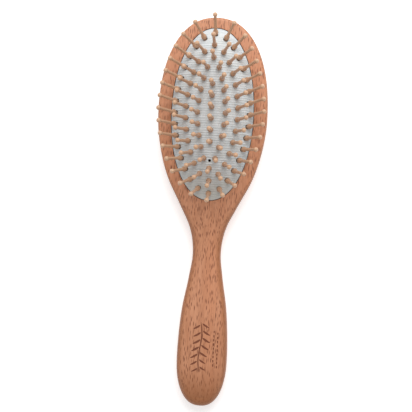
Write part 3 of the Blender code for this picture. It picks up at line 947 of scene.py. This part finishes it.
# one piece holding a pin at each of these seats; each pin's own place is kept for its grain
def standPins(name, points, normals, firstNumber, material):
    shape = turnedShape(pinProfile(), pin["sides"])
    rows = len(shape) // pin["sides"]
    faces = repeatedFaces(gridFaces(rows, pin["sides"], True), len(points), len(shape))
    mesh = bpy.data.meshes.new(name)
    mesh.from_pydata(standing(shape, points, normals).reshape(-1, 3), [], faces)
    offsets = np.outer(firstNumber + np.arange(len(points)), pinLook["grainStep"])
    setAttribute(mesh, "grainPlace", shape[None] + offsets[:, None], "FLOAT_VECTOR")
    # painted shade: 1 low on the pin by the rubber, 0 higher up
    paintedShadeNearRubber = 1 - easedStep(*pinLook["paintedShadeBand"], shape[:, 2])
    setAttribute(mesh, "paintedShadeNearRubber", np.tile(paintedShadeNearRubber, len(points)))
    mesh.materials.append(material)
    piece = bpy.data.objects.new(name, mesh)
    bpy.context.scene.collection.objects.link(piece)
    weld(mesh)
    smoothed(mesh, meshing["turnedSharpAngle"])
    return piece


# a piece for every crest, inner and middle pin, and one for each arc of the outer ring
def makePins():
    material = pinFinish()
    number = 0
    for ring in ("crest", "inner", "middle"):
        for order, (point, normal) in enumerate(zip(*seats[ring]), 1):
            node = f"{ring}_pin_{order}"
            piece = standPins(f"{ring}Pin{order}", point[None], normal[None], number, material)
            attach(piece, node)
            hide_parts(node)
            number += 1
    points, normals = seats["outer"]
    each = len(points) // pinLayout["arcs"]
    for arc in range(pinLayout["arcs"]):
        chosen = slice(arc * each, (arc + 1) * each)
        name = f"outerPins{arc + 1}"
        piece = standPins(name, points[chosen], normals[chosen], number, material)
        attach(piece, f"outer_pins_{arc + 1}")
        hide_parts(f"outer_pins_{arc + 1}")
        number += each
    print("pins made:", number)


# the floor, the light and the camera
studio = {
    "floorHalfSize": 2.0,
    "floorDrop": 0.0001,
    "floorTone": (245, 245, 245),
    "floorRoughness": 0.9,
    "floorGlow": 0.42,
    "world": 0.52,
    "keyPower": 3.4,
    "keySize": 0.5,
    "keyPlace": (0.06, 0.38, 0.50),
}
viewpoint = {
    "target": (-0.00125, -0.0528, 0.0140),
    "distance": 0.5,
    "sideways": math.radians(4.0),
    "roll": math.radians(2.66),
    "lens": 76.0,
    "sensor": 36.0,
    "nearest": 0.01,
}
white = shade(255, 255, 255)


# a square light of this size, turned towards the camera's target
def softLight(name, power, size, place):
    data = bpy.data.lights.new(name, "AREA")
    data.energy = power
    data.size = size
    light = bpy.data.objects.new(name, data)
    light.location = place
    towards = Vector(viewpoint["target"]) - light.location
    light.rotation_euler = towards.to_track_quat("-Z", "Y").to_euler()
    bpy.context.scene.collection.objects.link(light)


# a pale floor just under the brush, a white world and one soft light
def makeStudio():
    constants = {"Base Color": shade(*studio["floorTone"])}
    constants["Roughness"] = studio["floorRoughness"]
    constants["Emission Color"] = white
    constants["Emission Strength"] = studio["floorGlow"]
    pale = Finish("paleFloor", constants)
    seen = 1 - pale.node("NewGeometry", {}, {}, "Backfacing")  # clear from below
    pale.plug(pale.surface, {"Alpha": seen})
    reach, level = studio["floorHalfSize"], bodyLow.z - studio["floorDrop"]
    signs = ((-1, -1), (1, -1), (1, 1), (-1, 1))
    corners = [(x * reach, y * reach, level) for x, y in signs]
    mesh = bpy.data.meshes.new("floor")
    mesh.from_pydata(corners, [], [(0, 1, 2, 3)])
    mesh.materials.append(pale.material)
    floor = bpy.data.objects.new("floor", mesh)
    bpy.context.scene.collection.objects.link(floor)
    world = bpy.data.worlds.new("studio")
    world.use_nodes = True
    background = world.node_tree.nodes["Background"]
    background.inputs["Color"].default_value = white
    background.inputs["Strength"].default_value = studio["world"]
    bpy.context.scene.world = world
    softLight("keyLight", studio["keyPower"], studio["keySize"], studio["keyPlace"])
    bpy.context.scene.view_settings.view_transform = "Standard"
    print("floor and light placed")


# the camera looks straight down, leant a little to one side and turned about its view line
def makeCamera():
    data = bpy.data.cameras.new("camera")
    data.lens = viewpoint["lens"]
    data.sensor_width = viewpoint["sensor"]
    data.clip_start = viewpoint["nearest"]
    lean, roll = viewpoint["sideways"], viewpoint["roll"]
    backwards = Vector((math.sin(lean), 0, math.cos(lean)))
    upwards = Vector((-math.sin(roll), math.cos(roll), 0))
    rightwards = upwards.cross(backwards).normalized()
    upwards = backwards.cross(rightwards)
    turned = Matrix((rightwards, upwards, backwards)).transposed()
    camera = bpy.data.objects.new("camera", data)
    place = Vector(viewpoint["target"]) + backwards * viewpoint["distance"]
    camera.matrix_world = Matrix.Translation(place) @ turned.to_4x4()
    bpy.context.scene.collection.objects.link(camera)
    bpy.context.scene.camera = camera
    print("camera placed")


makeCamera()
makeStudio()
makeBody()
makeCushion()
makePins()

print("brush finished")
